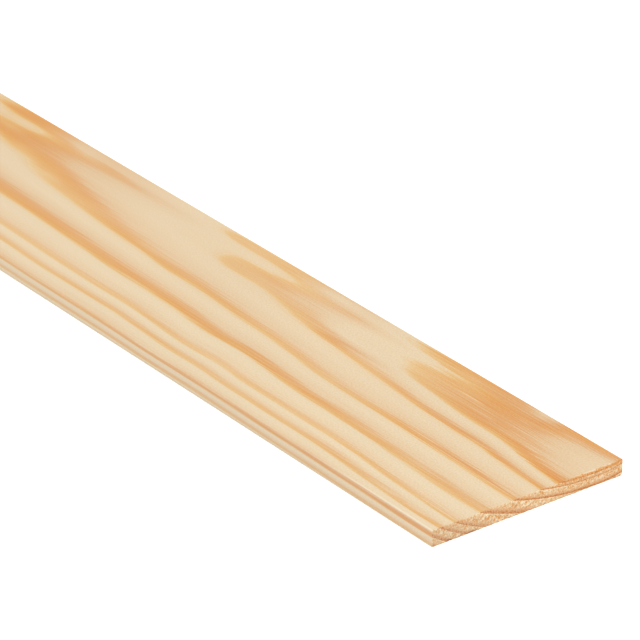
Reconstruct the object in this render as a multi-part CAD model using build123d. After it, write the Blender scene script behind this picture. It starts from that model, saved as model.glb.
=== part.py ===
"""A planed softwood strip: one length of rectangular moulding stock, sawn square at both ends.

The strip lies flat. +X runs along its length towards the near end, +Y across its width towards the
back edge, and +Z up through its thickness. The origin is the middle of the underside.
"""

import os

from build123d import *

# Driving dimensions, in millimetres.
LENGTH = 900.0
WIDTH = 65.0
THICKNESS = 5.0

# The planer and the packing ease each long arris by its own amount: the radius it is rounded to.
FRONT_TOP_ARRIS = 0.6
BACK_TOP_ARRIS = 0.25
FRONT_BOTTOM_ARRIS = 0.35
BACK_BOTTOM_ARRIS = 1.2

# The two arrises of one edge always leave a flat this wide between them, and never round it away.
MIN_EDGE_FLAT = 0.5


def fitting_radius(radius, other_radius):
    """The arris radius, made smaller where it and the arris above or below don't fit the thickness."""
    room = THICKNESS - MIN_EDGE_FLAT
    return min(radius, room * radius / (radius + other_radius))


def section():
    """The strip's section, drawn with the width along x and the thickness up y, resting on y = 0."""
    profile = Rectangle(WIDTH, THICKNESS, align=(Align.CENTER, Align.MIN))
    front, back = -WIDTH / 2, WIDTH / 2
    arrises = [
        (front, THICKNESS, fitting_radius(FRONT_TOP_ARRIS, FRONT_BOTTOM_ARRIS)),
        (front, 0, fitting_radius(FRONT_BOTTOM_ARRIS, FRONT_TOP_ARRIS)),
        (back, THICKNESS, fitting_radius(BACK_TOP_ARRIS, BACK_BOTTOM_ARRIS)),
        (back, 0, fitting_radius(BACK_BOTTOM_ARRIS, BACK_TOP_ARRIS)),
    ]
    for across, height, radius in arrises:
        corner = profile.vertices().sort_by_distance(Vector(across, height))[0]
        profile = fillet(corner, radius)
    return profile


def wood_strip():
    """The strip: its section run along X, half the length each way from the middle."""
    return extrude(Plane.YZ * section(), amount=LENGTH / 2, both=True)


os.makedirs("parts", exist_ok=True)
export_step(wood_strip(), "parts/wood_strip.step")
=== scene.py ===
"""Looks of a planed pine strip, sawn square at both ends and lying flat on a white floor.

A place on the strip is given in millimetres: how far it lies along the strip from the near end, across it
from the middle towards the back, and up from the underside. The camera, the stage and the materials use
metres.
"""

import math

import bpy
import numpy as np
from mathutils import Matrix, Vector


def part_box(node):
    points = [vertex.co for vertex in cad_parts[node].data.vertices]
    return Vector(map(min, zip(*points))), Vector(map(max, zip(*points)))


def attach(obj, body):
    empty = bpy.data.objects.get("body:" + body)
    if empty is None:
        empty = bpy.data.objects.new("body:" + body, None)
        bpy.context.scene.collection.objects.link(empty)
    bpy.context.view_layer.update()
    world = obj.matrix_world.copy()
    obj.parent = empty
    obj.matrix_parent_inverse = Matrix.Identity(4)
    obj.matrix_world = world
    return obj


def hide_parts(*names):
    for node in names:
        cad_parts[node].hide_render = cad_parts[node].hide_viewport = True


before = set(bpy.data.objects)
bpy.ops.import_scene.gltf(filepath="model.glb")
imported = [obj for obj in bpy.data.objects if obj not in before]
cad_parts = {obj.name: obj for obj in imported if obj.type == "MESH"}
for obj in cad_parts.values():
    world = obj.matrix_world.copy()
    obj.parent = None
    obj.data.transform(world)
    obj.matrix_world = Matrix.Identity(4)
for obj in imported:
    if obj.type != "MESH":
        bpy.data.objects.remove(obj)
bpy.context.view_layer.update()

MM = 0.001

# The strip's size in millimetres, from the frame.
STRIP_LOW, STRIP_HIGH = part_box("wood_strip")
LENGTH = (STRIP_HIGH.x - STRIP_LOW.x) / MM
WIDTH = (STRIP_HIGH.y - STRIP_LOW.y) / MM
THICKNESS = (STRIP_HIGH.z - STRIP_LOW.z) / MM

# The radius that each long arris is rounded to.
FRONT_TOP_ARRIS = 0.6
BACK_TOP_ARRIS = 0.25
FRONT_BOTTOM_ARRIS = 0.35
BACK_BOTTOM_ARRIS = 1.2

# How finely the mesh is divided, as distances and as counts.
COLUMN_PITCH = 0.22
ARRIS_STEPS = 7
EDGE_ROWS = 26
END_STATIONS = (0.0, 0.5, 1.0, 1.8, 3.0, 5.0)
NEAR_PITCH = 4.5
NEAR_LENGTH = 320.0
FAR_PITCH = 14.5

# The tree that the strip was sawn from. Its pith lies above the top face, and the trunk tapers, more on the
# strip's back half than on its front.
PITH_ACROSS = 24.3
PITH_ABOVE_TOP = 88.0
FRONT_TAPER = 0.0059
BACK_TAPER = 0.0118
TAPER_CHANGE = (-28.0, 8.0)

# Each growth ring: its outer radius, the thickness of its latewood at the near end and further along, and
# how dark its latewood is at three places along the strip.
RINGS = (
    (87.40, 0.60, 0.60, 0.80, 0.80, 0.80),
    (89.27, 0.70, 0.70, 1.30, 0.95, 1.15),
    (90.34, 0.48, 0.65, 1.10, 0.64, 0.52),
    (92.90, 0.90, 1.02, 1.00, 0.70, 1.10),
    (96.55, 1.55, 1.72, 0.84, 0.97, 1.00),
    (100.35, 1.22, 1.28, 0.74, 0.54, 0.48),
    (102.85, 1.18, 1.15, 0.74, 0.62, 0.60),
    (105.75, 1.30, 1.00, 1.25, 1.00, 0.80),
    (108.00, 0.95, 0.95, 0.55, 0.55, 0.55),
    (110.80, 0.90, 0.90, 0.75, 0.75, 0.75),
    (113.50, 0.80, 0.80, 0.65, 0.65, 0.65),
    (116.20, 0.85, 0.85, 0.80, 0.80, 0.80),
)
LATEWOOD_COLUMNS = (1, 2)
DARKNESS_COLUMNS = (3, 4, 5)
LATEWOOD_START = 0.55
CHANGE_ALONG = (40.0, 140.0)
DARKNESS_PLACES = (25.0, 90.0, 260.0)

# Slow changes in a ring's darkness: how strong they are, and their size along the strip and across rings.
UNEVEN_SHARE = 0.20
UNEVEN_LENGTH = 24.0
UNEVEN_DEPTH = 2.0
UNEVEN_SEED = 51

# A lengthwise ridge and a hollow in the growth layers, which split the tongues of grain and blunt them: the
# height, the place across, and the half widths towards the front and the back.
RIDGE = (0.40, 26.4, 3.7, 2.4)
HOLLOW = (-0.12, 16.2, 0.9, 2.4)
RIDGE_RISE = 50.0
HOLLOW_DRIFT = 0.008

# Bulges in the growth layers: along, across, half length, half width and height.
BULGES = (
    (8, -24, 24, 14, -0.70),
    (30, -15, 25, 6, -0.25),
    (54, -22, 15, 13, 0.25),
    (28, -28, 30, 4, -0.15),
    (16, -25, 10, 2.2, 0.20),
    (50, -34, 30, 5, -0.35),
    (28, 6, 8, 1.5, 0.11),
    (82, -2, 20, 6, -0.36),
    (74, -13, 14, 6, -0.28),
    (105, -24, 16, 8, -0.15),
    (110, -18, 9, 12, 0.35),
    (128, -18, 9, 12, -0.25),
    (122, -12.5, 12, 2.5, 0.15),
    (155, -20, 12, 14, 0.25),
    (193, -26, 16, 6, -0.20),
    (205, 2, 32, 9, -0.20),
    (168, 3, 10, 6, -0.13),
    (200, -35, 160, 4.5, -1.25),
    (215, -9, 30, 7, 0.20),
    (8, 32.5, 16, 3.5, 0.74),
    (23, 28.2, 8, 2.6, 0.34),
    (31, 32.5, 5.5, 2.3, -0.50),
    (68, 25.5, 8, 2.5, -0.05),
    (72, 28.5, 18, 1.8, 0.04),
    (48, -9, 14, 10, -0.17),
    (150, 25.5, 14, 2.5, 0.18),
    (28, 12, 14, 5, 0.20),
    (30, 22, 25, 6, 0.25),
    (84, 18.5, 10, 5, 0.27),
    (62, 15.5, 18, 3, 0.07),
    (138, 15, 16, 3, 0.15),
    (119, 18, 8, 3, 0.18),
    (123, 30, 9, 2.6, -0.30),
    (206, 9.5, 9, 3, 0.10),
    (221, 10.5, 10, 3.6, 0.28),
    (237, 13, 10, 4.2, 0.30),
    (252, 15.5, 11, 5, 0.22),
    (257, 11.5, 12, 3, 0.17),
    (86, 31, 12, 3, -0.08),
    (160, 16, 8, 1.6, -0.12),
    (172, 30, 16, 4, -0.42),
    (158, 20, 9, 4.5, -0.12),
    (172, 20, 8, 5, 0.10),
    (218, 26.5, 32, 2.4, 0.36),
    (242, 8, 28, 6, -0.28),
    (274, 25, 14, 3.5, 0.26),
    (252, 30, 9, 3, -0.45),
    (289, 27.5, 14, 3, -0.20),
    (330, 22, 130, 26, 1.35),
)

# Places where the latewood is paler, or darker where the share is negative: along, across and up, then the
# half length, half width and half height, and the share.
FADES = (
    (7, 16.4, 5, 8, 1.8, 2, 0.42),
    (18, -5, 5, 10, 1.2, 2, 0.25),
    (20, -24, 5, 10, 1.2, 2, 0.25),
    (28, -29.5, 5, 10, 1.5, 2, 0.30),
    (18, 27, 5, 6, 3, 2, 0.30),
    (18, 20.5, 5, 7, 1.6, 2, 0.30),
    (4, 31.3, 5, 8, 1, 2, 0.25),
    (60, 10.7, 5, 8, 1.2, 2, 0.30),
    (60, 29.5, 5, 9, 1.6, 2, 0.30),
    (70, 9.5, 5, 9, 1.4, 2, -0.25),
    (74, 20, 5, 20, 7, 2, 0.43),
    (78, 31.5, 5, 12, 2, 2, -0.20),
    (98, -26.5, 5, 12, 1.2, 2, 0.25),
    (100, 13.8, 5, 13, 2.2, 2, -0.60),
    (132, 29, 5, 10, 4, 2, 0.40),
    (144, 17, 5, 8, 2, 2, 0.25),
    (182, 5.5, 5, 10, 1.5, 2, 0.30),
    (224, 6.5, 5, 24, 4, 2, 0.40),
    (245, 9.5, 5, 10, 2.5, 2, 0.52),
    (248, 27.5, 5, 8, 2, 2, 0.35),
    (265, 15, 5, 8, 2, 2, 0.30),
    (280, 21, 5, 8, 2, 2, 0.30),
    (250, 14, 5, 14, 4, 2, 0.15),
    (236, 26, 5, 22, 3, 2, 0.22),
    (264, 28, 5, 10, 5, 2, 0.35),
    (0, 26, 2.9, 2, 9, 0.7, 0.85),
)

# How much warmer the wood of the inner rings is, by radius, and how much warmer all wood gets further along.
WARM_RADII = (88.0, 90.0, 91.5, 94.0, 97.0)
WARM_SHARES = (0.20, 0.36, 0.30, 0.15, 0.0)
WARM_FAR = 0.38
WARM_RISE = (60.0, 260.0)

# How much the fine fibres die away further along.
FIBRE_FADE = (60.0, 280.0)
FIBRE_LOSS = 0.65

# Thin streaks along the fibres: from and to along the strip, the places across at both, and how pale, or how
# dark where the number is negative.
STREAKS = (
    (47, 57, 22.2, 22.2, 0.8),
    (40, 46, 18.6, 18.6, 0.6),
    (29, 36, 24.6, 24.6, 0.5),
    (26, 33, 20.7, 20.7, 0.5),
    (23, 31, 18.5, 18.5, 0.5),
    (16, 22, 16.3, 16.3, 0.7),
    (11, 15, 14.8, 14.8, 0.7),
    (1, 12, 13.6, 13.7, 0.6),
    (15, 27, 26.5, 26.5, 0.4),
    (11, 21, 29.4, 29.2, 0.5),
    (24, 37, 7.2, 7.4, 0.6),
    (34, 46, -2.2, -2.1, 0.6),
    (20, 37, -3.6, -3.4, 0.6),
    (1, 14, -4.4, -4.1, 0.6),
    (1, 12, -3.2, -3.0, 0.5),
    (8, 24, -22.5, -21.4, 0.8),
    (1, 16, -24.1, -23.7, 0.8),
    (21, 28, -28.5, -28.4, 0.7),
    (6, 16, -28.9, -28.7, 0.8),
    (20, 62, 7.3, 8.6, -0.6),
    (1, 20, -4.1, -3.2, -0.6),
    (18, 38, -3.1, -2.8, -0.6),
)
STREAK_HALF_WIDTH = 0.19

# The saw's marks on the ends: torn strokes that lean, in clusters, and how deep they go.
STROKE_LEAN = math.radians(50)
STROKE_LENGTH = 0.60
STROKE_SPACING = 0.38
STROKE_DEPTH = 0.30
CLUSTER_SIZE = 2.6
CLUSTER_RISE = (0.25, 0.65)
END_TOLERANCE = 1e-6
NEAR_END_SEED = 11
FAR_END_SEED = 21

# The shares of a ring over which its wood starts to tear and stops, and how rough torn and other wood is.
TORN_START = (0.0, 0.10)
TORN_STOP = (0.35, 0.66)
LEAST_TORN = 0.35
EVEN_ROUGHNESS = 0.25
TORN_ROUGHNESS = 1.15

# Wear along the top and bottom edges of each end: its depth, its reach, the size of its patches across and
# up, and the share of it that is missing where the end is stained.
END_ARRIS = 0.22
END_ARRIS_REACH = 0.5
END_ARRIS_PATCH = (0.5, 0.6)
STAINED_LOSS = 0.7

# The resin's stain on each end: where it sets in across the strip, the depths over which its band starts and
# stops, the spots in front of it, and how strong the band, the spots and the wood below it are.
STAIN_RISE = (9.0, 17.0)
STAIN_START = (0.05, 0.35)
STAIN_STOP = (0.9, 1.5)
STAIN_SPOT = (2.2, 3.0)
STAIN_SPOT_RISE = (0.40, 0.75)
STAIN_SEED = 61
STAIN_BAND = 0.78
STAIN_SPOTS = 0.4
STAIN_BELOW = 0.22

# The radii over which the end's wood gets duller.
DULL_RISE = (95.0, 103.0)
DULL_SHARE = 0.38

# Dark marks along the lower edge of each end, one of them painted shade: place across, half width and how
# dark.
LOW_MARKS_AND_SHADE = (
    (-26.6, 0.9, 1.0),
    (-23.4, 0.9, 0.6),
    (-19.2, 1.6, 1.0),
    (-6.3, 0.4, 0.5),
    # Painted shade along the back half of the end's lower edge.
    (22.0, 12.0, 0.28),
    (29.5, 0.5, 0.7),
)
LOW_MARK_REACH = 1.0
LOW_MARK_LIFT = 0.12
LOW_MARK_HEIGHT = 1.0

# Painted shade along the foot of the narrow edges, and how far in from the sides those edges reach.
FOOT_SHADE = 0.18
FOOT_SHADE_REACH = (0.1, 0.8)
EDGE_REACH = (0.05, 0.45)

# A painted highlight along the front top arris: a line in from the front and down from the top, the
# distances from it over which the highlight stops, how far along it dies away, and how strong it is.
FRONT_HIGHLIGHT_IN = 0.32
FRONT_HIGHLIGHT_DOWN = 0.08
FRONT_HIGHLIGHT_STOP = (0.08, 0.36)
FRONT_HIGHLIGHT_FADE = (5.0, 68.0)
FRONT_HIGHLIGHT = 0.6

# Pale wear with a painted highlight along the top of each end: the distances over which it stops, its least
# share, its patches, the shares of a ring over which it stops, and how strong it is.
END_WEAR_AND_HIGHLIGHT_STOP = (0.10, 0.45)
END_WEAR_AND_HIGHLIGHT_LEAST = 0.3
END_WEAR_AND_HIGHLIGHT_PATCH = 0.8
END_WEAR_AND_HIGHLIGHT_RISE = (0.30, 0.60)
END_WEAR_AND_HIGHLIGHT_SEED = 41
END_WEAR_AND_HIGHLIGHT_RING = (0.40, 0.60)
END_WEAR_AND_HIGHLIGHT = 0.75

# Faces that meet at more than this are shaded with a sharp edge between them.
SHARP_ANGLE = math.radians(40)

# Colours as sRGB from 0 to 255.
EARLYWOOD = (239, 220, 187)
PALE_STREAK = (244, 222, 184)
DARK_STREAK = (216, 146, 88)
# Painted highlight along the front top arris, with pale wear at the ends' top edges.
ARRIS_WEAR_AND_HIGHLIGHT = (245, 237, 213)
# Painted sheen on the narrow edges.
EDGE_SHEEN = (240, 229, 212)
WARM_TINT = (251, 243, 235)
GRAIN_TINT = (246, 238, 228)
# Dark marks and painted shade along the lower edges.
LOW_MARK_AND_SHADE = (152, 98, 60)
# Pale flecks and dark pits of the sawn ends; where they follow the torn relief they are partly painted
# highlight and shade.
FLECK_AND_HIGHLIGHT = (253, 236, 203)
PIT_AND_SHADE = (221, 150, 78)
DARK_DOT = (194, 112, 60)
DULL = (204, 178, 146)
STAIN = (230, 160, 86)
SAWN_EARLYWOOD = (231, 193, 146)

# A ring's colours on the planed faces, from its inner edge to its outer one.
PLANED_RING = (
    (0.00, (237, 206, 157)),
    (0.02, (238, 214, 175)),
    (0.05, (239, 219, 185)),
    (0.20, (239, 220, 188)),
    (0.30, (238, 216, 181)),
    (0.40, (236, 211, 174)),
    (0.48, (234, 206, 167)),
    (0.55, (232, 197, 154)),
    (0.60, (230, 186, 135)),
    (0.66, (229, 175, 118)),
    (0.74, (228, 168, 103)),
    (0.82, (229, 166, 94)),
    (0.91, (231, 171, 96)),
    (0.96, (234, 187, 119)),
    (1.00, (237, 206, 157)),
)

# A ring's colours on the sawn ends, from its inner edge to its outer one.
SAWN_RING = (
    (0.00, (236, 200, 150)),
    (0.02, (248, 229, 190)),
    (0.06, (247, 226, 186)),
    (0.11, (238, 208, 161)),
    (0.30, (234, 200, 152)),
    (0.50, (231, 191, 144)),
    (0.67, (226, 176, 127)),
    (0.79, (219, 158, 107)),
    (0.87, (208, 137, 83)),
    (0.93, (200, 121, 64)),
    (0.97, (210, 138, 78)),
    (1.00, (236, 200, 150)),
)

# Fine noise in the wood: cells to the metre along, across and up, and how far each one is moved.
FIBRES = (40.0, 2700.0, 2700.0)
GAPS = (34.0, 3000.0, 3000.0)
GAPS_MOVE = (3.0, 1.0, 7.0)
CLOUDS = (14.0, 120.0, 120.0)
CLOUDS_MOVE = (0.0, 5.0, 2.0)
GRAIN = (1700.0, 2000.0, 2000.0)
GRAIN_MOVE = (9.0, 2.0, 4.0)
GRIT = (900.0, 2400.0, 2400.0)
DOTS = (1200.0, 2300.0, 2300.0)
DOTS_MOVE = (4.0, 8.0, 1.0)

# What the planed faces make of those noises and of a ring's share: two values, and what they become.
LATEWOOD_MIDDLE = 0.70
SHIFT_BY_LATEWOOD = (0.42, 0.15, 0.0, 1.0)
SHIFT_BY_FIBRES = (0.28, 0.72, -0.10, 0.10)
SHIFT_BY_DARKNESS = (0.50, 0.75, 0.35, 1.0)
GAP_BY_NOISE = (0.60, 0.36, 0.0, 0.40)
WARMTH_BY_SHARE = (0.50, 0.66, 1.0, 0.2)
SHADE_BY_CLOUDS = (0.3, 0.7, 0.98, 1.01)
GRAIN_BY_NOISE = (0.30, 0.70, 0.0, 0.9)
SHEEN_BY_SHARE = (0.45, 0.70, 0.26, 0.14)
ROUGHNESS_BY_SHARE = (0.45, 0.75, 0.66, 0.52)
PLANED_SPECULAR = 0.25
PLANED_BUMP = 0.00002

# What the sawn ends make of them, in the same way.
SHIFT_BY_GRIT = (0.25, 0.75, -0.05, 0.05)
RING_BY_DARKNESS = (0.50, 0.95, 0.45, 1.0)
PIT_SHADE_BY_PRIDE = (0.44, 0.18, 0.0, 0.8)
FLECK_HIGHLIGHT_BY_PRIDE = (0.60, 0.85, 0.0, 0.9)
DOTS_BY_SHARE = (0.68, 0.42, 0.30, 1.0)
PIT_BY_DOTS = (0.48, 0.34, 0.0, 0.62)
FLECK_BY_DOTS = (0.53, 0.67, 0.0, 0.62)
DARK_BY_DOTS = (0.50, 0.36, 0.0, 0.8)
LATEWOOD_RISE = (0.62, 0.80, 0.0, 1.0)
LATEWOOD_FALL = (1.0, 0.95, 0.0, 1.0)
SAWN_ROUGHNESS = 0.85
SAWN_SPECULAR = 0.15
SAWN_BUMP = 0.00008

# The camera: where it looks from, and where the near end's top middle falls in the image.
IMAGE_SIZE = 640
CAMERA_AZIMUTH = 53.04
CAMERA_ELEVATION = 26.81
CAMERA_DISTANCE = 1.1466
FOCAL_PIXELS = 4349.0
NEAR_END_PIXEL = (529.2, 494.6)
SENSOR_WIDTH = 36.0
CLIP_START = 0.01
CLIP_END = 100.0

# The stage. Rays that meet the floor closer than the touch distance come from the strip lying on it.
FLOOR_HALF_SIZE = 30.0
FLOOR_COLOUR = 0.85
FLOOR_LIFT = 0.45
FLOOR_TOUCH = 0.0001
SKY_LIGHT = 0.855
SOFTBOX_AIM_IN = 0.10
SOFTBOX_PLACE = (0.75, -0.3, 0.95)
SOFTBOX_SIZE = 1.2
SOFTBOX_POWER = 4.2


def smooth_step(low, high, value):
    """0 below low, 1 above high, and an even curve between them."""
    share = np.clip((value - low) / (high - low), 0.0, 1.0)
    return share * share * (3.0 - 2.0 * share)


def lopsided_hump(distance, front, back):
    """A smooth hump of height 1 with its own half width on each side."""
    return np.exp(-((distance / np.where(distance < 0.0, front, back)) ** 2))


def patches(first, second, seed):
    """Smooth random patches from 0 to 1 over a plane, about one unit apart."""
    size = 128
    table = np.random.default_rng(seed).random((size, size))
    low_first = np.floor(first).astype(int)
    low_second = np.floor(second).astype(int)
    share_first = smooth_step(0.0, 1.0, first - low_first)
    share_second = smooth_step(0.0, 1.0, second - low_second)
    here = table[low_first % size, low_second % size]
    beside = table[(low_first + 1) % size, low_second % size]
    above = table[low_first % size, (low_second + 1) % size]
    across = table[(low_first + 1) % size, (low_second + 1) % size]
    low = here + (beside - here) * share_first
    high = above + (across - above) * share_first
    return low + (high - low) * share_second


def growth_radius(along, across, up):
    """How far from the pith the growth layer at a place was laid down at the near end, in millimetres."""
    back_share = smooth_step(*TAPER_CHANGE, across)
    radius = np.hypot(across - PITH_ACROSS, PITH_ABOVE_TOP + THICKNESS - up)
    radius = radius + along * (FRONT_TAPER + back_share * (BACK_TAPER - FRONT_TAPER))
    rise = smooth_step(0.0, RIDGE_RISE, along)
    for (height, place, front, back), drift in ((RIDGE, 0.0), (HOLLOW, HOLLOW_DRIFT)):
        radius = radius + rise * height * lopsided_hump(across - place - drift * along, front, back)
    for bulge_along, bulge_across, half_length, half_width, height in BULGES:
        far = ((along - bulge_along) / half_length) ** 2 + ((across - bulge_across) / half_width) ** 2
        radius = radius + height * np.exp(-far)
    return radius


def growth_phase(radius, along):
    """The ring at a radius as a count: whole numbers at rings' outer edges, with latewood before them."""
    near, far = (count_rings(radius, column) for column in LATEWOOD_COLUMNS)
    return near + (far - near) * smooth_step(*CHANGE_ALONG, along)


def count_rings(radius, column):
    """The ring at a radius as a count, with latewood as thick as one column of RINGS says."""
    radii = []
    counts = []
    inner = RINGS[0][0]
    for count, ring in enumerate(RINGS[1:]):
        radii += [inner, ring[0] - ring[column]]
        counts += [count, count + LATEWOOD_START]
        inner = ring[0]
    return np.interp(radius, radii + [inner], counts + [len(RINGS) - 1])


def ring_darkness(radius, along):
    """How dark the latewood near a radius is: 0 is like earlywood, and 1 is the ring's colours as given."""
    middles = [ring[0] - ring[1] / 2 for ring in RINGS]
    columns = ([ring[column] for ring in RINGS] for column in DARKNESS_COLUMNS)
    near, middle, far = (np.interp(radius, middles, column) for column in columns)
    first, second, third = DARKNESS_PLACES
    even = near + (middle - near) * smooth_step(first, second, along)
    even = even + (far - middle) * smooth_step(second, third, along)
    uneven = patches(along / UNEVEN_LENGTH, radius / UNEVEN_DEPTH, UNEVEN_SEED) - 0.5
    return even * (1.0 + UNEVEN_SHARE * uneven)


def faded(along, across, up):
    """What the fades leave of the latewood's darkness at a place."""
    left = np.ones_like(along)
    for middle_along, middle_across, middle_up, half_length, half_width, half_height, share in FADES:
        far = ((along - middle_along) / half_length) ** 2
        far = far + ((across - middle_across) / half_width) ** 2
        far = far + ((up - middle_up) / half_height) ** 2
        left = left * (1.0 - share * np.exp(-far))
    return left


def arris_drop(distance, radius):
    """How far a rounded arris lies below its face at a distance in from the edge."""
    inside = np.clip(radius - distance, 0.0, radius)
    return radius - np.sqrt(radius * radius - inside * inside)


def column_places():
    """Places across the strip, close together where the arrises curve."""
    turn = 1.0 - np.cos(np.linspace(0.0, math.pi / 2, ARRIS_STEPS + 1))
    front = -WIDTH / 2 + max(FRONT_TOP_ARRIS, FRONT_BOTTOM_ARRIS) * turn
    back = WIDTH / 2 - max(BACK_TOP_ARRIS, BACK_BOTTOM_ARRIS) * turn[::-1]
    count = round((back[0] - front[-1]) / COLUMN_PITCH)
    middle = np.linspace(front[-1], back[0], count + 1)[1:-1]
    return np.concatenate([front, middle, back])


def section_grid():
    """The section as a grid of points: one row for each height and one column for each place across."""
    across = column_places()
    from_front = across + WIDTH / 2
    from_back = WIDTH / 2 - across
    top = THICKNESS - arris_drop(from_front, FRONT_TOP_ARRIS) - arris_drop(from_back, BACK_TOP_ARRIS)
    bottom = arris_drop(from_front, FRONT_BOTTOM_ARRIS) + arris_drop(from_back, BACK_BOTTOM_ARRIS)
    share = np.linspace(0.0, 1.0, EDGE_ROWS + 1)[:, None]
    up = bottom + (top - bottom) * share
    return np.broadcast_to(across, up.shape), up


def outline_cells(rows, columns):
    """The grid's outline as (row, column) pairs, once round."""
    bottom = [(0, c) for c in range(columns)]
    back = [(r, columns - 1) for r in range(1, rows)]
    top = [(rows - 1, c) for c in range(columns - 2, -1, -1)]
    front = [(r, 0) for r in range(rows - 2, 0, -1)]
    return bottom + back + top + front


def station_places():
    """Distances from the near end at which the outline is repeated, closer where the grain turns."""
    start = np.array(END_STATIONS)
    finish = LENGTH - start[::-1]
    near_count = round((NEAR_LENGTH - start[-1]) / NEAR_PITCH)
    far_count = round((finish[0] - NEAR_LENGTH) / FAR_PITCH)
    near = np.linspace(start[-1], NEAR_LENGTH, near_count + 1)[1:]
    far = np.linspace(NEAR_LENGTH, finish[0], far_count + 1)[1:-1]
    return np.concatenate([start, near, far, finish])


def side_faces(station_count, ring_size):
    """The four-sided faces between each station's outline and the next one's."""
    first = np.arange(station_count - 1)[:, None] * ring_size
    here = np.arange(ring_size)
    after = (here + 1) % ring_size
    sides = [first + here, first + after, first + ring_size + after, first + ring_size + here]
    return np.stack(sides, -1).reshape(-1, 4)


def end_faces(index, flip):
    """An end's four-sided faces over a grid of point numbers, turned outwards."""
    faces = np.stack([index[:-1, :-1], index[1:, :-1], index[1:, 1:], index[:-1, 1:]], -1).reshape(-1, 4)
    return faces if flip else faces[:, ::-1]


def strip_mesh():
    """The strip's points as (along, across, up), its faces, and which of the faces are sawn ends."""
    across, up = section_grid()
    rows, columns = across.shape
    outline = outline_cells(rows, columns)
    stations = station_places()
    ring_size = len(outline)

    sides = np.empty((len(stations), ring_size, 3))
    sides[:, :, 0] = stations[:, None]
    sides[:, :, 1:] = [(across[cell], up[cell]) for cell in outline]
    points = [sides.reshape(-1, 3)]
    faces = [side_faces(len(stations), ring_size)]
    ends = [np.zeros(len(faces[0]), bool)]

    used = len(points[0])
    for station, along, flip in ((0, 0.0, False), (len(stations) - 1, LENGTH, True)):
        index = np.empty((rows, columns), int)
        for place, cell in enumerate(outline):
            index[cell] = station * ring_size + place
        inner = np.arange((rows - 2) * (columns - 2)).reshape(rows - 2, columns - 2) + used
        index[1:-1, 1:-1] = inner
        used += inner.size
        inside = np.stack([np.full(inner.shape, along), across[1:-1, 1:-1], up[1:-1, 1:-1]], -1)
        points.append(inside.reshape(-1, 3))
        faces.append(end_faces(index, flip))
        ends.append(np.ones(len(faces[-1]), bool))
    return np.concatenate(points), np.concatenate(faces), np.concatenate(ends)


def ring_share(growth):
    """How far through its ring a place lies, from 0 at the inner edge to 1 at the outer one."""
    return growth - np.floor(growth)


def torn_strokes(across, up, growth, seed):
    """How proud a place on a sawn end is: 0 in a pit, 1 on a torn tuft, and nearly even in latewood."""
    length = (across * math.cos(STROKE_LEAN) + up * math.sin(STROKE_LEAN)) / STROKE_LENGTH
    spacing = (up * math.cos(STROKE_LEAN) - across * math.sin(STROKE_LEAN)) / STROKE_SPACING
    strokes = patches(length, spacing, seed)
    cluster = patches(across / CLUSTER_SIZE, up / CLUSTER_SIZE, seed + 1)
    share = ring_share(growth)
    early = smooth_step(*TORN_START, share) * (1.0 - smooth_step(*TORN_STOP, share))
    ragged = early * (LEAST_TORN + (1.0 - LEAST_TORN) * smooth_step(*CLUSTER_RISE, cluster))
    return np.clip(0.5 + (strokes - 0.5) * (EVEN_ROUGHNESS + TORN_ROUGHNESS * ragged), 0.0, 1.0)


def low_mark_and_shade_share(from_end, across, up):
    """How dark a place is at the marks along the lower edge next to an end, one of which is painted shade.
    """
    dark = np.zeros_like(across)
    for place, half_width, strength in LOW_MARKS_AND_SHADE:
        dark = np.maximum(dark, strength * np.exp(-(((across - place) / half_width) ** 2)))
    return dark * (1.0 - smooth_step(0.0, LOW_MARK_REACH, np.hypot(from_end, up)))


def end_arris_wear(across, up, seed):
    """How deep the top and bottom edges of an end are worn."""
    along_edge, up_edge = END_ARRIS_PATCH
    edge = np.minimum(THICKNESS - up, up)
    arris_mark = END_ARRIS * (1.0 - smooth_step(0.0, END_ARRIS_REACH, edge))
    arris_mark = arris_mark * patches(across / along_edge, up / up_edge, seed)
    return arris_mark * (1.0 - STAINED_LOSS * smooth_step(*STAIN_RISE, across))


def saw_ends(points, growth):
    """Roughens both ends: moves their points inwards, and gives all points' pride and their dark marks with
    painted shade, of 0 to 1.
    """
    along, across, up = points.T
    pride = np.full_like(along, 0.5)
    low_dark_and_shade = np.zeros_like(along)
    moved = points.copy()
    for end, inwards, seed in ((0.0, 1.0, NEAR_END_SEED), (LENGTH, -1.0, FAR_END_SEED)):
        from_end = np.abs(along - end)
        on_end = from_end < END_TOLERANCE
        pride[on_end] = torn_strokes(across[on_end], up[on_end], growth[on_end], seed)
        low_dark_and_shade = np.maximum(low_dark_and_shade, low_mark_and_shade_share(from_end, across, up))
        depth = STROKE_DEPTH * (1.0 - pride) + end_arris_wear(across, up, seed + 2)
        moved[:, 0] += np.where(on_end, inwards * depth, 0.0)
    moved[:, 2] += LOW_MARK_LIFT * low_dark_and_shade * (1.0 - smooth_step(0.0, LOW_MARK_HEIGHT, up))
    return moved, pride, low_dark_and_shade


def front_arris_highlight(along, across, up):
    """How much paler a place is where a highlight is painted along the front top arris."""
    corner = np.hypot(across + WIDTH / 2 - FRONT_HIGHLIGHT_IN, up - THICKNESS + FRONT_HIGHLIGHT_DOWN)
    arris_mark = FRONT_HIGHLIGHT * (1.0 - smooth_step(*FRONT_HIGHLIGHT_STOP, corner))
    return arris_mark * (1.0 - smooth_step(*FRONT_HIGHLIGHT_FADE, along))


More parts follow.
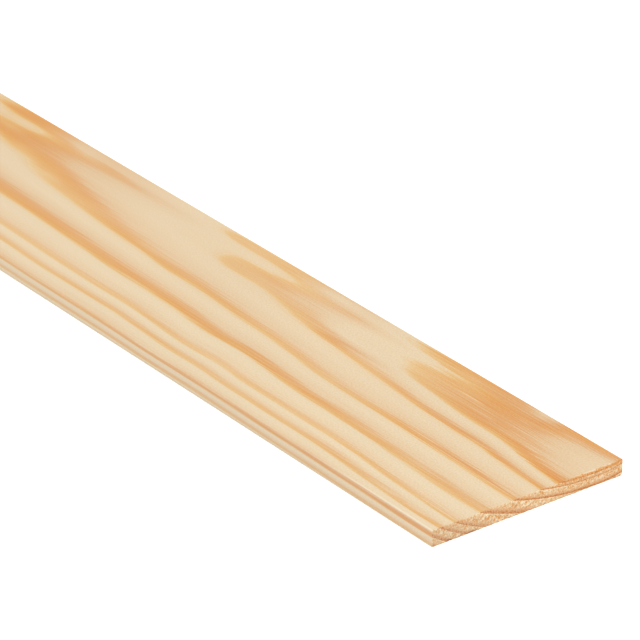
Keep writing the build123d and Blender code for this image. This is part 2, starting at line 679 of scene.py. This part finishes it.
def end_wear_and_highlight(along, across, up, growth):
    """How much paler a place is along the top edge of an end: pale worn fibres with a painted highlight."""
    from_end = np.minimum(along, LENGTH - along)
    arris_mark = 1.0 - smooth_step(*END_WEAR_AND_HIGHLIGHT_STOP, np.hypot(from_end, THICKNESS - up))
    arris_mark = arris_mark * (END_WEAR_AND_HIGHLIGHT_LEAST + (1.0 - END_WEAR_AND_HIGHLIGHT_LEAST) * smooth_step(*STAIN_RISE, across))
    arris_mark = arris_mark * smooth_step(*END_WEAR_AND_HIGHLIGHT_RISE, patches(across / END_WEAR_AND_HIGHLIGHT_PATCH, up, END_WEAR_AND_HIGHLIGHT_SEED))
    return END_WEAR_AND_HIGHLIGHT * arris_mark * (1.0 - smooth_step(*END_WEAR_AND_HIGHLIGHT_RING, ring_share(growth)))


def streak_share(along, across, up):
    """How pale a place on the top is where a thin streak runs through it, or how dark if negative."""
    streak = np.zeros_like(along)
    for start, finish, first, last, strength in STREAKS:
        reach = (finish - start) / 2
        run = np.exp(-(((along - start - reach) / reach) ** 4))
        aside = across - first - (last - first) * (along - start) / (finish - start)
        streak = streak + strength * run * np.exp(-((aside / STREAK_HALF_WIDTH) ** 2))
    return streak * smooth_step(THICKNESS / 2, THICKNESS, up)


def stain_share(across, up):
    """How deep a place on an end is stained by resin below the top face, most of all towards the back."""
    spot_across, spot_up = STAIN_SPOT
    depth = THICKNESS - up
    band = smooth_step(*STAIN_START, depth) * (1.0 - smooth_step(*STAIN_STOP, depth))
    spots = patches(across / spot_across, up / spot_up, STAIN_SEED)
    spots = STAIN_SPOTS * smooth_step(*STAIN_SPOT_RISE, spots)
    back = smooth_step(*STAIN_RISE, across)
    return band * (spots + (STAIN_BAND - spots) * back) + STAIN_BELOW * back * (1.0 - band)


def edge_share(across):
    """1 on the strip's narrow front and back edges, which a painted sheen makes paler, and 0 on its broad
    faces.
    """
    return 1.0 - smooth_step(*EDGE_REACH, WIDTH / 2 - np.abs(across))


def foot_shade_share(across, up):
    """How dark the painted shade is on the lowest part of the narrow edges, next to the floor."""
    return FOOT_SHADE * edge_share(across) * (1.0 - smooth_step(*FOOT_SHADE_REACH, up))


def wood_values(points, radius, growth, pride, low_dark_and_shade):
    """Everything that the materials need to know at each point, by name."""
    along, across, up = points.T
    warmth = np.interp(radius, WARM_RADII, WARM_SHARES) + WARM_FAR * smooth_step(*WARM_RISE, along)
    return {
        "growth": growth,
        "darkness": ring_darkness(radius, along) * faded(along, across, up),
        "streaks": 1.0 - FIBRE_LOSS * smooth_step(*FIBRE_FADE, along),
        "streak": streak_share(along, across, up),
        "warmth": warmth,
        "pride": pride,
        # Dark marks along the ends' lower edges, with painted shade there and along the foot of the narrow
        # edges.
        "low_dark_and_shade": np.maximum(low_dark_and_shade, foot_shade_share(across, up)),
        "stain": stain_share(across, up),
        "dull": DULL_SHARE * smooth_step(*DULL_RISE, radius),
        # Painted highlight along the front top arris, and pale wear with a painted highlight along the ends'
        # top edges.
        "arris_mark": np.maximum(front_arris_highlight(along, across, up), end_wear_and_highlight(along, across, up, growth)),
        "edge": edge_share(across),
    }


def make_strip():
    """The strip as one mesh piece, with its growth rings, its wear and its painted shade and highlights as
    values at its points.
    """
    points, faces, ends = strip_mesh()
    radius = growth_radius(*points.T)
    growth = growth_phase(radius, points[:, 0])
    moved, pride, low_dark_and_shade = saw_ends(points, growth)
    along, across, up = moved.T
    places = np.stack([STRIP_HIGH.x - along * MM, across * MM, up * MM], -1)
    mesh = bpy.data.meshes.new("pine_strip")
    mesh.from_pydata(places.tolist(), [], faces.tolist())
    for name, numbers in wood_values(points, radius, growth, pride, low_dark_and_shade).items():
        layer = mesh.attributes.new(name, "FLOAT", "POINT")
        layer.data.foreach_set("value", numbers.astype(np.float32))
    mesh.materials.append(planed_pine())
    mesh.materials.append(sawn_pine())
    mesh.polygons.foreach_set("material_index", ends.astype(np.int32))
    mesh.polygons.foreach_set("use_smooth", np.ones(len(faces), bool))
    mesh.validate()
    mesh.set_sharp_from_angle(angle=SHARP_ANGLE)
    strip = bpy.data.objects.new("pine_strip", mesh)
    bpy.context.scene.collection.objects.link(strip)
    return strip


def linear(red, green, blue):
    """A colour given as 0 to 255 in sRGB, as the linear values that a shader takes."""
    def channel(value):
        share = value / 255.0
        return share / 12.92 if share <= 0.04045 else ((share + 0.055) / 1.055) ** 2.4
    return (channel(red), channel(green), channel(blue), 1.0)


class Finish:
    """A material's nodes, with one short call for each kind of node that the wood needs."""

    def __init__(self, name):
        self.material = bpy.data.materials.new(name)
        self.material.use_nodes = True
        self.tree = self.material.node_tree
        self.shader = self.tree.nodes["Principled BSDF"]

    def feed(self, socket, value):
        """Links an output to a socket, or sets the socket to a plain value."""
        if isinstance(value, bpy.types.NodeSocket):
            self.tree.links.new(value, socket)
        else:
            socket.default_value = value

    def attribute(self, name):
        """A value stored at the mesh's points."""
        node = self.tree.nodes.new("ShaderNodeAttribute")
        node.attribute_name = name
        return node.outputs["Fac"]

    def place(self, scale, offset=(0.0, 0.0, 0.0)):
        """The place on the strip, stretched by a scale along each axis."""
        source = self.tree.nodes.new("ShaderNodeTexCoord")
        node = self.tree.nodes.new("ShaderNodeMapping")
        node.inputs["Scale"].default_value = scale
        node.inputs["Location"].default_value = offset
        self.tree.links.new(source.outputs["Object"], node.inputs["Vector"])
        return node.outputs["Vector"]

    def noise(self, place, detail=2.0, roughness=0.5):
        """Smooth noise, mostly between 0.25 and 0.75."""
        node = self.tree.nodes.new("ShaderNodeTexNoise")
        node.inputs["Scale"].default_value = 1.0
        node.inputs["Detail"].default_value = detail
        node.inputs["Roughness"].default_value = roughness
        self.tree.links.new(place, node.inputs["Vector"])
        return node.outputs["Fac"]

    def math(self, operation, first, second=0.0):
        """One sum of two values."""
        node = self.tree.nodes.new("ShaderNodeMath")
        node.operation = operation
        self.feed(node.inputs[0], first)
        self.feed(node.inputs[1], second)
        return node.outputs[0]

    def remap(self, value, low, high, to_low=0.0, to_high=1.0):
        """A value's range moved to another, and held inside it."""
        node = self.tree.nodes.new("ShaderNodeMapRange")
        self.feed(node.inputs["Value"], value)
        node.inputs["From Min"].default_value = low
        node.inputs["From Max"].default_value = high
        node.inputs["To Min"].default_value = to_low
        node.inputs["To Max"].default_value = to_high
        return node.outputs["Result"]

    def ramp(self, value, stops):
        """Colours along a value, from (position, sRGB colour) pairs."""
        node = self.tree.nodes.new("ShaderNodeValToRGB")
        elements = node.color_ramp.elements
        while len(elements) < len(stops):
            elements.new(0.5)
        for element, (position, colour) in zip(elements, stops):
            element.position = position
            element.color = linear(*colour)
        self.feed(node.inputs["Fac"], value)
        return node.outputs["Color"]

    def power(self, colour, exponent):
        """A colour with each channel raised to a power."""
        node = self.tree.nodes.new("ShaderNodeGamma")
        self.feed(node.inputs["Color"], colour)
        self.feed(node.inputs["Gamma"], exponent)
        return node.outputs["Color"]

    def mix(self, share, first, second, blend="MIX"):
        """Two colours mixed."""
        node = self.tree.nodes.new("ShaderNodeMix")
        node.data_type = "RGBA"
        node.blend_type = blend
        self.feed(node.inputs["Factor"], share)
        self.feed(node.inputs["A"], first)
        self.feed(node.inputs["B"], second)
        return node.outputs["Result"]

    def bump(self, height, depth):
        """Fine relief of a depth in metres."""
        node = self.tree.nodes.new("ShaderNodeBump")
        node.inputs["Distance"].default_value = depth
        self.feed(node.inputs["Height"], height)
        self.tree.links.new(node.outputs["Normal"], self.shader.inputs["Normal"])


def planed_ring(wood, growth, share, fibres):
    """The rings' colours on a planed face, with edges that the fibres fray and fine gaps in the latewood."""
    streaks = wood.attribute("streaks")
    darkness = wood.attribute("darkness")
    from_middle = wood.math("ABSOLUTE", wood.math("SUBTRACT", share, LATEWOOD_MIDDLE))
    late_side = wood.remap(from_middle, *SHIFT_BY_LATEWOOD)
    shift = wood.math("MULTIPLY", wood.remap(fibres, *SHIFT_BY_FIBRES), late_side)
    shift = wood.math("MULTIPLY", shift, wood.remap(darkness, *SHIFT_BY_DARKNESS))
    shifted = wood.math("ADD", growth, wood.math("MULTIPLY", shift, streaks))
    ring = wood.ramp(wood.math("FRACT", shifted), PLANED_RING)
    lines = wood.noise(wood.place(GAPS, GAPS_MOVE), detail=1.0)
    gaps = wood.math("MULTIPLY", wood.remap(lines, *GAP_BY_NOISE), streaks)
    gaps = wood.math("MULTIPLY", gaps, wood.math("SUBTRACT", 1.0, wood.attribute("edge")))
    strength = wood.math("MULTIPLY", darkness, wood.math("SUBTRACT", 1.0, gaps))
    dye = wood.power(wood.mix(1.0, ring, linear(*EARLYWOOD), "DIVIDE"), strength)
    return wood.mix(1.0, dye, linear(*EARLYWOOD), "MULTIPLY")


def planed_tints(wood, colour, share):
    """A planed face's colour with thin streaks, warmth, slow clouds, fine grain and a painted sheen on the
    narrow edges.
    """
    streak = wood.attribute("streak")
    colour = wood.mix(wood.remap(streak, 0.0, 1.0), colour, linear(*PALE_STREAK))
    colour = wood.mix(wood.remap(streak, 0.0, -1.0), colour, linear(*DARK_STREAK))
    warmth = wood.math("MULTIPLY", wood.attribute("warmth"), wood.remap(share, *WARMTH_BY_SHARE))
    colour = wood.mix(warmth, colour, linear(*WARM_TINT), "MULTIPLY")
    clouds = wood.noise(wood.place(CLOUDS, CLOUDS_MOVE), detail=3.0)
    colour = wood.mix(1.0, colour, wood.remap(clouds, *SHADE_BY_CLOUDS), "MULTIPLY")
    grain = wood.noise(wood.place(GRAIN, GRAIN_MOVE), detail=1.0)
    grain = wood.math("MULTIPLY", wood.remap(grain, *GRAIN_BY_NOISE), wood.attribute("streaks"))
    colour = wood.mix(grain, colour, linear(*GRAIN_TINT), "MULTIPLY")
    # Painted sheen: the narrow edges are made paler and bluer, as a reflection of the white surround.
    sheen = wood.math("MULTIPLY", wood.attribute("edge"), wood.remap(share, *SHEEN_BY_SHARE))
    return wood.mix(sheen, colour, linear(*EDGE_SHEEN))


def planed_pine():
    """The planed faces: pale earlywood and orange latewood, in fine fibres along the strip."""
    wood = Finish("planed_pine")
    growth = wood.attribute("growth")
    share = wood.math("FRACT", growth)
    fibres = wood.noise(wood.place(FIBRES), detail=1.0, roughness=0.6)
    colour = planed_ring(wood, growth, share, fibres)
    colour = planed_tints(wood, colour, share)
    # Painted highlight along the front top arris, and pale wear with a painted highlight along the ends' top
    # edges.
    colour = wood.mix(wood.attribute("arris_mark"), colour, linear(*ARRIS_WEAR_AND_HIGHLIGHT))
    # Dark marks and painted shade along the lower edges.
    colour = wood.mix(wood.attribute("low_dark_and_shade"), colour, linear(*LOW_MARK_AND_SHADE))
    wood.feed(wood.shader.inputs["Base Color"], colour)
    wood.feed(wood.shader.inputs["Roughness"], wood.remap(share, *ROUGHNESS_BY_SHARE))
    wood.shader.inputs["Specular IOR Level"].default_value = PLANED_SPECULAR
    wood.bump(fibres, PLANED_BUMP)
    return wood.material


def sawn_ring(wood, growth, grit):
    """Rings' colours on a sawn end: torn pits and tufts, partly painted shade and highlight, resin stain and
    dull wood.
    """
    jittered = wood.math("ADD", growth, wood.remap(grit, *SHIFT_BY_GRIT))
    ring = wood.ramp(wood.math("FRACT", jittered), SAWN_RING)
    strength = wood.remap(wood.attribute("darkness"), *RING_BY_DARKNESS)
    colour = wood.mix(strength, linear(*SAWN_EARLYWOOD), ring)
    pride = wood.attribute("pride")
    # The torn pits are painted darker and the tufts paler: partly the torn wood's own colour, partly painted
    # shade and highlight.
    colour = wood.mix(wood.remap(pride, *PIT_SHADE_BY_PRIDE), colour, linear(*PIT_AND_SHADE))
    colour = wood.mix(wood.remap(pride, *FLECK_HIGHLIGHT_BY_PRIDE), colour, linear(*FLECK_AND_HIGHLIGHT))
    colour = wood.mix(wood.attribute("stain"), colour, linear(*STAIN))
    return wood.mix(wood.attribute("dull"), colour, linear(*DULL))


def sawn_dots(wood, colour, share):
    """A sawn end's colour with fine dots: pits and flecks in the earlywood, dark dots in the latewood."""
    dots = wood.noise(wood.place(DOTS, DOTS_MOVE), detail=1.0)
    early = wood.remap(share, *DOTS_BY_SHARE)
    pits = wood.math("MULTIPLY", wood.remap(dots, *PIT_BY_DOTS), early)
    colour = wood.mix(pits, colour, linear(*PIT_AND_SHADE))
    flecks = wood.math("MULTIPLY", wood.remap(dots, *FLECK_BY_DOTS), early)
    colour = wood.mix(flecks, colour, linear(*FLECK_AND_HIGHLIGHT))
    late = wood.math("MULTIPLY", wood.remap(share, *LATEWOOD_RISE), wood.remap(share, *LATEWOOD_FALL))
    dark = wood.math("MULTIPLY", wood.remap(dots, *DARK_BY_DOTS), late)
    return wood.mix(dark, colour, linear(*DARK_DOT))


def sawn_pine():
    """The sawn ends: end grain with reddish latewood, torn earlywood and a pale line outside each ring."""
    wood = Finish("sawn_pine")
    growth = wood.attribute("growth")
    grit = wood.noise(wood.place(GRIT), detail=2.0)
    colour = sawn_ring(wood, growth, grit)
    colour = sawn_dots(wood, colour, wood.math("FRACT", growth))
    # Painted highlight along the front top arris, and pale wear with a painted highlight along the ends' top
    # edges.
    colour = wood.mix(wood.attribute("arris_mark"), colour, linear(*FLECK_AND_HIGHLIGHT))
    # Dark marks and painted shade along the lower edges.
    colour = wood.mix(wood.attribute("low_dark_and_shade"), colour, linear(*LOW_MARK_AND_SHADE))
    wood.feed(wood.shader.inputs["Base Color"], colour)
    wood.shader.inputs["Roughness"].default_value = SAWN_ROUGHNESS
    wood.shader.inputs["Specular IOR Level"].default_value = SAWN_SPECULAR
    wood.bump(grit, SAWN_BUMP)
    return wood.material


def place_camera():
    """The camera, turned and moved so that the near end falls where the image shows it."""
    azimuth = math.radians(CAMERA_AZIMUTH)
    elevation = math.radians(CAMERA_ELEVATION)
    back = Vector((math.sin(azimuth) * math.cos(elevation),
                   -math.cos(azimuth) * math.cos(elevation),
                   math.sin(elevation)))
    right = Vector((math.cos(azimuth), math.sin(azimuth), 0.0))
    up = back.cross(right)
    per_pixel = CAMERA_DISTANCE / FOCAL_PIXELS
    aside = (NEAR_END_PIXEL[0] - IMAGE_SIZE / 2) * per_pixel
    above = (IMAGE_SIZE / 2 - NEAR_END_PIXEL[1]) * per_pixel
    near_end = Vector((STRIP_HIGH.x, 0.0, STRIP_HIGH.z))
    place = near_end + CAMERA_DISTANCE * back - aside * right - above * up
    camera = bpy.data.objects.new("camera", bpy.data.cameras.new("camera"))
    camera.data.sensor_width = SENSOR_WIDTH
    camera.data.lens = SENSOR_WIDTH * FOCAL_PIXELS / IMAGE_SIZE
    camera.data.clip_start = CLIP_START
    camera.data.clip_end = CLIP_END
    turn = Matrix((right, up, back)).transposed().to_4x4()
    camera.matrix_world = Matrix.Translation(place) @ turn
    bpy.context.scene.collection.objects.link(camera)
    bpy.context.scene.camera = camera


def link_math(tree, operation, first, second):
    """One sum of an output and either another output or a plain number, in a material or the world."""
    node = tree.nodes.new("ShaderNodeMath")
    node.operation = operation
    tree.links.new(first, node.inputs[0])
    if isinstance(second, bpy.types.NodeSocket):
        tree.links.new(second, node.inputs[1])
    else:
        node.inputs[1].default_value = second
    return node.outputs[0]


def seen_directly(tree):
    """1 for rays that show the surround as a picture does: to the camera, in a reflection or in glass."""
    path = tree.nodes.new("ShaderNodeLightPath")
    seen = path.outputs["Is Camera Ray"]
    for other in ("Is Glossy Ray", "Is Transmission Ray"):
        seen = link_math(tree, "MAXIMUM", seen, path.outputs[other])
    return seen


def floor_paper():
    """White paper that is lifted to the surround's white, and clear from below and right under the strip."""
    material = bpy.data.materials.new("floor")
    material.use_nodes = True
    tree = material.node_tree
    nodes, links = tree.nodes, tree.links
    nodes.remove(nodes["Principled BSDF"])
    paper = nodes.new("ShaderNodeBsdfDiffuse")
    paper.inputs["Color"].default_value = (FLOOR_COLOUR, FLOOR_COLOUR, FLOOR_COLOUR, 1.0)
    lift = nodes.new("ShaderNodeEmission")
    links.new(link_math(tree, "MULTIPLY", seen_directly(tree), FLOOR_LIFT), lift.inputs["Strength"])
    both = nodes.new("ShaderNodeAddShader")
    links.new(paper.outputs[0], both.inputs[0])
    links.new(lift.outputs[0], both.inputs[1])

    clear = nodes.new("ShaderNodeBsdfTransparent")
    below = nodes.new("ShaderNodeNewGeometry").outputs["Backfacing"]
    distance = nodes.new("ShaderNodeLightPath").outputs["Ray Length"]
    touching = link_math(tree, "LESS_THAN", distance, FLOOR_TOUCH)
    either = nodes.new("ShaderNodeMixShader")
    links.new(link_math(tree, "MAXIMUM", below, touching), either.inputs["Fac"])
    links.new(both.outputs[0], either.inputs[1])
    links.new(clear.outputs[0], either.inputs[2])
    links.new(either.outputs[0], nodes["Material Output"].inputs["Surface"])
    return material


def make_floor():
    """A wide white floor. From underneath the camera sees through it, and light reaches what lies on it."""
    half = FLOOR_HALF_SIZE
    corners = [(-half, -half, 0), (half, -half, 0), (half, half, 0), (-half, half, 0)]
    mesh = bpy.data.meshes.new("floor")
    mesh.from_pydata(corners, [], [(0, 1, 2, 3)])
    mesh.materials.append(floor_paper())
    floor = bpy.data.objects.new("floor", mesh)
    bpy.context.scene.collection.objects.link(floor)
    return floor


def light_the_surround():
    """An even surround, which is pure white where it is seen directly."""
    world = bpy.data.worlds.new("surround")
    world.use_nodes = True
    bpy.context.scene.world = world
    nodes, links = world.node_tree.nodes, world.node_tree.links
    level = nodes.new("ShaderNodeMapRange")
    level.inputs["To Min"].default_value = SKY_LIGHT
    level.inputs["To Max"].default_value = 1.0
    links.new(seen_directly(world.node_tree), level.inputs["Value"])
    nodes["Background"].inputs["Color"].default_value = (1.0, 1.0, 1.0, 1.0)
    links.new(level.outputs["Result"], nodes["Background"].inputs["Strength"])


def hang_softbox():
    """One soft light above the near end, out past it and a little to the front."""
    lamp = bpy.data.lights.new("softbox", "AREA")
    lamp.shape = "SQUARE"
    lamp.size = SOFTBOX_SIZE
    lamp.energy = SOFTBOX_POWER
    softbox = bpy.data.objects.new("softbox", lamp)
    aim = Vector((STRIP_HIGH.x - SOFTBOX_AIM_IN, 0.0, 0.0))
    place = aim + Vector(SOFTBOX_PLACE)
    softbox.location = place
    softbox.rotation_euler = (place - aim).to_track_quat("Z", "Y").to_euler()
    bpy.context.scene.collection.objects.link(softbox)


strip = make_strip()
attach(strip, "root")
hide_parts("wood_strip")
make_floor()
light_the_surround()
hang_softbox()
place_camera()
bpy.context.scene.view_settings.view_transform = "Standard"
